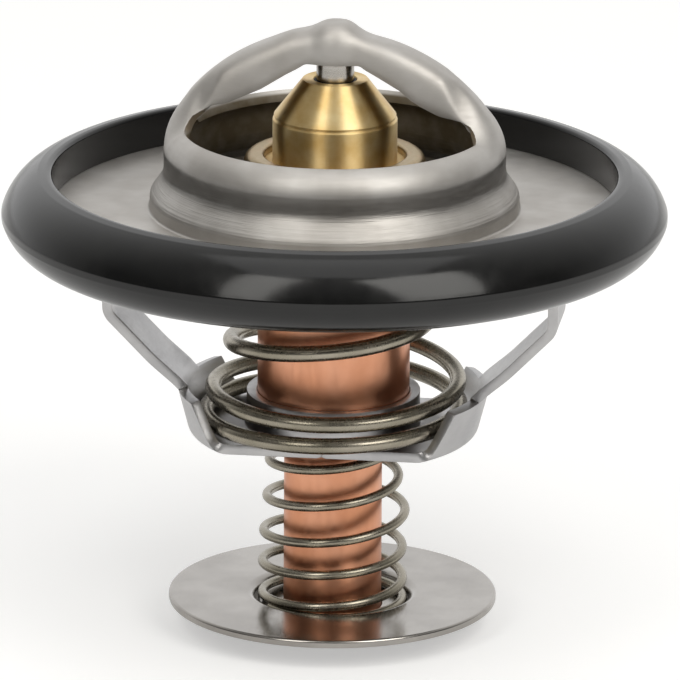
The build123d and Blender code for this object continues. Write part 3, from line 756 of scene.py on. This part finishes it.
def crown(x):
    """Height of the arms' ridge at x along them: a ball of the dome's radius, a little flatter at
    the boss and fuller on one side, blended at each end into an arc of the heel that turns into
    the neck's wall."""
    out = np.abs(x)
    radius = DOME_R - 0.4 * (1 - smooth(out, 0.0, 6.0))
    swell = 0.2 * smooth(out, 1.0, 3.0) + 0.24 * np.exp(-(((out - 4.0) / 1.6) ** 2))
    fuller = np.where(x < 0, swell, 0.0)
    heel_r = (DOME_R**2 - NECK_R**2 - (HEEL_Z - DOME_Z) ** 2) / (2 * (DOME_R - NECK_R))
    heel_x = (NECK_R - heel_r) * DOME_R / (DOME_R - heel_r)
    ball = DOME_Z + np.sqrt(np.maximum(radius**2 - out**2, 0)) + fuller
    heel = HEEL_Z + np.sqrt(np.maximum(heel_r**2 - (out - NECK_R + heel_r) ** 2, 0))
    share = smooth(out, heel_x - 1.5, heel_x + 0.1)
    return ball * (1 - share) + heel * share


def shoulder(r):
    """Height of the quarter-round shoulder above the neck, flat inside its crest."""
    inward = np.clip(r - (NECK_R - SHOULDER_R), 0, SHOULDER_R)
    return SHOULDER_Z + np.sqrt(np.maximum(SHOULDER_R**2 - inward**2, 0))


def half_width(x):
    """Half an arm's width: wide at the root, a waist beside the boss, and the boss's roundness,
    joined as (arm^6 + boss^6)^(1/6)."""
    out = np.abs(x)
    arm = WAIST_HALF + (ARM_HALF - WAIST_HALF) * smooth(out, 3.0, 7.5)
    boss = np.sqrt(np.maximum((BOSS_R + 0.07) ** 2 - out**2, 0))
    return (arm**6 + boss**6) ** (1 / 6)


def root_height(x, y):
    """Height where an arm spreads into the shoulder: an S-shaped fall away from the ridge."""
    r = np.hypot(x, y)
    ridge = crown(np.copysign(r, x))
    return ridge + (np.minimum(shoulder(r), ridge) - ridge) * smooth(np.abs(y), 0.7, 4.4)


def boss_rise(x, y):
    """How far the boss's bell stands over the dome, h / (1 + (d / w)^4) at a distance d from its
    top, which sits a little to one side; across the arms it falls more slowly."""
    return 1.6 / (1 + (np.hypot(x - 0.12, 0.55 * y) / 2.3) ** 4)


def window_reach(a):
    """Distance from the axis to the sheet's inner edge at an angle: the window's circle, its
    rounded corners, and the line across the arm's root."""
    a = np.abs((a + math.pi / 2) % math.pi - math.pi / 2)
    centre = np.array([ROOT_X, ARM_HALF + CORNER_R])
    along = centre[0] * np.cos(a) + centre[1] * np.sin(a)
    off = centre @ centre - along**2
    arc = along + np.sqrt(np.maximum(CORNER_R**2 - off, 0))
    first, last = math.atan2(ARM_HALF, ROOT_X), math.atan2(centre[1], centre[0])
    across = ROOT_X / np.maximum(np.cos(a), 1e-6)
    return np.where(a <= first, across, np.where(a < last, np.minimum(arc, WINDOW_R), WINDOW_R))


def drawn_frame():
    """The frame's sheet. Round the neck it is (r cos a, r sin a, z) over a and the way up from the
    flange's edge to the window. Along the arms it is (x, y, z) over x and t from edge to edge, with
    y = width sin(90 t) and z = foot + (ridge - foot) (1 - |sin 90 t|^p)^(1/p), and near the roots z
    blends into the shoulder. A sleeve for the pin's head hangs in the boss."""
    t = np.linspace(-1, 1, 37)
    spread = np.sin(t * math.pi / 2)
    root = np.arctan2(ARM_HALF * spread, ROOT_X)
    last = math.atan2(ARM_HALF + CORNER_R, ROOT_X)
    corner = np.linspace(root[-1], last, 9)[1:]
    open_part = np.linspace(last, math.pi - last, 81)[1:-1]
    half_turn = np.concatenate([root, corner, open_part, math.pi - corner[::-1]])
    a = np.concatenate([half_turn, half_turn + math.pi])
    reach = window_reach(a)

    foot = rounded(
        [
            (FLANGE_R, SHEET / 2, 0),
            (FOOT_STEP_R, SHEET / 2, 0.3),
            (FOOT_STEP_R, FOOT_STEP_Z, 1.3),
            (NECK_R, NECK_FOOT_Z, 2.6),
            (NECK_R, SHOULDER_Z, 0),
            (0, SHOULDER_Z, 0),
        ],
        6,
    )[0][1:-2]
    flange = np.linspace(FLANGE_R, foot[0, 0], 16)[:-1, None]
    wall_top = root_height(NECK_R * np.cos(a), NECK_R * np.sin(a))
    up = np.array([0.33, 0.67, 1.0])[:, None]
    # Rows close up towards the window, where the shoulder flattens: 1 - cos over 82 degrees.
    turn = np.radians(82 * np.linspace(0, 1, 23)[1:, None])
    inward = (1 - np.cos(turn)) / (1 - np.cos(turn[-1]))
    crest_r = NECK_R + (reach - NECK_R) * inward
    crest_z = root_height(crest_r * np.cos(a), crest_r * np.sin(a))
    level = np.ones_like(a)
    r = np.concatenate([flange * level, foot[:, :1] * level, NECK_R * level * up**0, crest_r])
    wall_z = foot[-1, 1] + (wall_top - foot[-1, 1]) * up
    z = np.concatenate([flange**0 * level * SHEET / 2, foot[:, 1:] * level, wall_z, crest_z])
    neck = np.stack([r * np.cos(a), r * np.sin(a), z], axis=-1)

    x = np.concatenate([np.linspace(ROOT_X, 4.0, 25)[1:], np.linspace(4.0, 0, 15)[1:]])
    x = np.concatenate([x, -x[-2::-1]])[:, None]
    y = half_width(x) * spread
    lift = (1 - np.abs(spread) ** ARM_POWER) ** (1 / ARM_POWER)
    edge = np.interp(x, ARM_FOOT[:, 0], ARM_FOOT[:, 1])
    arch = edge + (crown(x) - edge) * lift
    near_root = smooth(np.abs(x), 11.0, ROOT_X)
    z = arch * (1 - near_root) + root_height(x + 0 * y, y) * near_root + boss_rise(x, y) * lift
    arms = np.stack([x + 0 * y, y, z], axis=-1)

    ring = np.arange(neck[..., 0].size).reshape(neck.shape[:2])
    strip = neck[..., 0].size + np.arange(arms[..., 0].size).reshape(arms.shape[:2])
    left = ring[-1, len(half_turn) : len(half_turn) + len(t)][::-1]
    strip = np.concatenate([ring[-1:, : len(t)], strip, left[None]])
    faces = np.concatenate([quads(ring, close_columns=True), quads(strip)])
    points, faces = walled(np.concatenate([neck.reshape(-1, 3), arms.reshape(-1, 3)]), faces, SHEET)

    sleeve_foot = BOSS_FOOT + 0.02
    sleeve, sleeve_faces, _ = turned(
        [
            (SOCKET_R, sleeve_foot, 0.1),
            (BOSS_R - 0.1, sleeve_foot, 0.3),
            (BOSS_R - 0.1, SOCKET_TOP, 0.1),
            (SOCKET_R, SOCKET_TOP, 0.1),
        ],
        96,
    )
    faces = np.concatenate([faces, sleeve_faces + len(points)])
    points = np.concatenate([points, sleeve])
    made = mesh_piece(
        "frame_drawn_sheet", points, faces, STAINLESS, "frame", "frame"
    )
    ease_edges(made, SHEET_EASED)


drawn_frame()

# ---------------------------------------------------------------- cage, in millimetres
CAGE_SHEET = 1.0
COLLAR_R = 7.77
COLLAR_TOP = -18.5
BASE_FOOT = SEAT_Z - CAGE_SHEET
WALL_FOOT_R = 14.5
KNEE_R = 15.75
KNEE_Z = -18.2
LEG_R = 23.1
LEG_BEND_Z = -10.7
LEG_HALF = 3.7
TAB_R = 27.8
TAB_Z = -1.6
BASE_HALF = 9.5
TAPER_X = 11.2
EAR_X = 17.4
EAR_HALF = 6.2


def pressed_cage():
    """The strap's lower face, given a wall of one sheet upwards. The cradle is (r cos a, r sin a,
    z) over a and the way from the collar to the knee, with a limited so that the plan is a
    straight strap that tapers to the ears. Each leg is (x - sag, y, z) over y and the way up from
    the knee, where sag(y) = R - sqrt(R^2 - y^2) carries the knee's roundness into the flat leg."""
    cradle = divided(
        [
            (COLLAR_R, COLLAR_TOP, 0),
            (COLLAR_R, BASE_FOOT, 1.3),
            (WALL_FOOT_R, BASE_FOOT, 1.3),
            (KNEE_R, KNEE_Z, 0),
            (0, KNEE_Z, 0),
            (0, COLLAR_TOP, 0),
        ],
        12,
        0.45,
    )
    r, z = cradle[:, :1], cradle[:, 1:]
    slope = (BASE_HALF - EAR_HALF) / (EAR_X - TAPER_X)
    tilt = math.atan(slope)
    middle = LEG_HALF * np.linspace(-1, 1, 17)
    inner = np.arcsin(middle / r)
    straight = np.arcsin(np.minimum(BASE_HALF / r, 1))
    tapered = (BASE_HALF + slope * TAPER_X) * math.cos(tilt) / r
    tapered = np.arcsin(np.minimum(tapered, 1)) - tilt
    limit = np.where(r * np.cos(straight) <= TAPER_X, straight, tapered)
    wing = inner[:, -1:] + (limit - inner[:, -1:]) * np.linspace(0, 1, 27)[1:]
    a = np.concatenate([-wing[:, ::-1], inner, wing], axis=1)
    cradle = np.stack([r * np.cos(a), r * np.sin(a), z + 0 * a], axis=-1)

    side = divided(
        [
            (KNEE_R, KNEE_Z, 0),
            (LEG_R, LEG_BEND_Z, 2.3),
            (LEG_R, TAB_Z, 1.3),
            (TAB_R, TAB_Z, 0),
            (0, 5, 0),
            (0, KNEE_Z, 0),
        ],
        9,
        0.6,
    )[1:]
    x, z = side[:, :1], side[:, 1:]
    sag = KNEE_R - np.sqrt(KNEE_R**2 - middle**2)
    x = x - sag * (1 - smooth(z, KNEE_Z, KNEE_Z + 3.0))
    leg = np.stack([x, middle + 0 * x, z + 0 * x], axis=-1)

    base = np.arange(cradle[..., 0].size).reshape(cradle.shape[:2])
    rise = base.size + np.arange(leg[..., 0].size).reshape(leg.shape[:2])
    wings = wing.shape[1]
    rise = np.concatenate([base[-1:, wings : wings + len(middle)], rise])
    faces = np.concatenate([quads(base), quads(rise)])
    points = np.concatenate([cradle.reshape(-1, 3), leg.reshape(-1, 3)])
    faces = np.concatenate([faces, faces + len(points)])
    points = np.concatenate([points, points * (-1, -1, 1)])
    made = mesh_piece(
        "cage_pressed_strap", points, faces, CAGE_STEEL, "frame", "cage"
    )
    made.modifiers.new("halves joined", "WELD").merge_threshold = 0.002 * MM
    wall = made.modifiers.new("sheet", "SOLIDIFY")
    wall.thickness = CAGE_SHEET * MM
    wall.offset = -1.0
    wall.use_even_offset = True
    ease_edges(made, STRAP_EASED)


pressed_cage()

# ---------------------------------------------------------------- solids that only a section shows
for name, material in (("boot", BOOT_RUBBER), ("backup_washer", FLUOROPLASTIC), ("wax", WAX)):
    nodes[name].data.materials.clear()
    nodes[name].data.materials.append(material)

# ---------------------------------------------------------------- camera, floor and light
VIEW_BEARING = 7.4  # degrees round from the front
AZIMUTH, ELEVATION, ROLL = (math.radians(v) for v in (VIEW_BEARING, 17.03, 0.335))
AIM_Z = -18 * MM
DISTANCE = 1.0
ahead = np.array([-math.sin(AZIMUTH), math.cos(AZIMUTH), 0.0])
across = np.array([math.cos(AZIMUTH), math.sin(AZIMUTH), 0.0])
forward = ahead * math.cos(ELEVATION) - np.array([0, 0, math.sin(ELEVATION)])
up = np.cross(across, forward)
right = across * math.cos(ROLL) + up * math.sin(ROLL)
up = up * math.cos(ROLL) - across * math.sin(ROLL)
eye = np.array([0, 0, AIM_Z]) - forward * DISTANCE
camera = bpy.data.objects.new("camera", bpy.data.cameras.new("camera"))
bpy.context.scene.collection.objects.link(camera)
camera.matrix_world = Matrix(
    [[right[i], up[i], -forward[i], eye[i]] for i in range(3)] + [[0, 0, 0, 1]]
)
camera.data.sensor_width = 36
camera.data.lens = 523.574
camera.data.shift_x = 0.00952
camera.data.shift_y = 0.06419
camera.data.clip_start = 0.05
camera.data.clip_end = 20
bpy.context.scene.camera = camera


def softbox(name, azimuth, elevation, distance, size, power, colour):
    """A flat soft lamp (width, height) at that bearing round the object, looking at its middle."""
    lamp = bpy.data.lights.new(name, "AREA")
    lamp.shape = "RECTANGLE"
    lamp.size, lamp.size_y = size
    lamp.energy = power
    lamp.color = linear(colour)[:3]
    made = bpy.data.objects.new(name, lamp)
    bpy.context.scene.collection.objects.link(made)
    a, e = math.radians(azimuth), math.radians(elevation)
    back = Vector((math.sin(a) * math.cos(e), -math.cos(a) * math.cos(e), math.sin(e)))
    made.location = back * distance
    made.rotation_mode = "QUATERNION"
    made.rotation_quaternion = back.to_track_quat("Z", "Y")


softbox("softbox_left", VIEW_BEARING - 31, 40, 0.7, (0.2, 0.55), 1.15, "#fffdf8")
softbox("softbox_right", VIEW_BEARING + 38, 40, 0.7, (0.36, 0.55), 2.2, "#fffdf8")
softbox("softbox_top", VIEW_BEARING, 86, 0.8, (0.6, 0.6), 1.0, "#ffffff")

# White paper lit by the lamps, with a little glow so that it reads white.
FLOOR_REACH = 3.0
sides = ((-1, -1), (1, -1), (1, 1), (-1, 1))
corners = [(x * FLOOR_REACH, y * FLOOR_REACH, STANDING_Z * MM) for x, y in sides]
floor_mesh = bpy.data.meshes.new("floor")
floor_mesh.from_pydata(corners, [], [[0, 1, 2, 3]])
floor = bpy.data.objects.new("floor", floor_mesh)
bpy.context.scene.collection.objects.link(floor)
paper = bpy.data.materials.new("white_paper_floor")
paper.use_nodes = True
tree = paper.node_tree
tree.nodes.clear()
to_eye = add(tree, "LightPath", {}, "Is Camera Ray")
mirrored = add(tree, "LightPath", {}, "Is Glossy Ray")
through = add(tree, "LightPath", {}, "Is Transmission Ray")
mirrored = add(tree, "Math", {0: mirrored, 1: through}, operation="MAXIMUM")
mirrored = add(tree, "Math", {0: mirrored, 1: 0.25}, operation="MULTIPLY")
glow = add(tree, "Math", {0: to_eye, 1: 0.4}, operation="MULTIPLY")
glow = add(tree, "Math", {0: glow, 1: mirrored}, operation="MAXIMUM")
shade = add(tree, "BsdfDiffuse", {"Color": linear("#e2e2e2")})
shine = add(tree, "Emission", {"Color": linear("#ffffff"), "Strength": glow})
add(tree, "OutputMaterial", {"Surface": add(tree, "AddShader", {0: shade, 1: shine})})
floor_mesh.materials.append(paper)

# The studio: a white backdrop behind the part, seen straight and in the metal, and a plain room
# that is lighter overhead and dim round the camera.
world = bpy.data.worlds.new("studio")
bpy.context.scene.world = world
world.use_nodes = True
tree = world.node_tree
tree.nodes.clear()
way = add(tree, "TexCoord", {}, "Generated")
facing = add(tree, "VectorMath", {0: way, 1: tuple(ahead)}, "Value", operation="DOT_PRODUCT")
height = add(tree, "SeparateXYZ", {0: way}, 2)
behind = add(tree, "MapRange", {"Value": facing, "From Min": -0.1, "From Max": 0.85})
overhead = add(
    tree, "MapRange", {"Value": height, "From Min": 0.35, "From Max": 1.0, "To Max": 0.36}
)
level = add(tree, "Math", {0: behind, 1: 0.6, 2: 0.13}, operation="MULTIPLY_ADD")
level = add(tree, "Math", {0: level, 1: overhead}, operation="ADD")
room = add(tree, "Background", {"Color": linear("#fffefb"), "Strength": level})
white = add(tree, "Background", {"Color": linear("#ffffff"), "Strength": 1.0})
to_eye = add(tree, "LightPath", {}, "Is Camera Ray")
mirrored = add(tree, "LightPath", {}, "Is Glossy Ray")
through = add(tree, "LightPath", {}, "Is Transmission Ray")
mirrored = add(tree, "Math", {0: mirrored, 1: through}, operation="MAXIMUM")
backdrop = add(tree, "Math", {0: behind, 1: 2.0}, operation="POWER")
mirrored = add(tree, "Math", {0: mirrored, 1: backdrop}, operation="MULTIPLY")
seen = add(tree, "Math", {0: to_eye, 1: mirrored}, operation="MAXIMUM")
add(tree, "OutputWorld", {"Surface": add(tree, "MixShader", {0: seen, 1: room, 2: white})})
bpy.context.scene.view_settings.view_transform = "Standard"
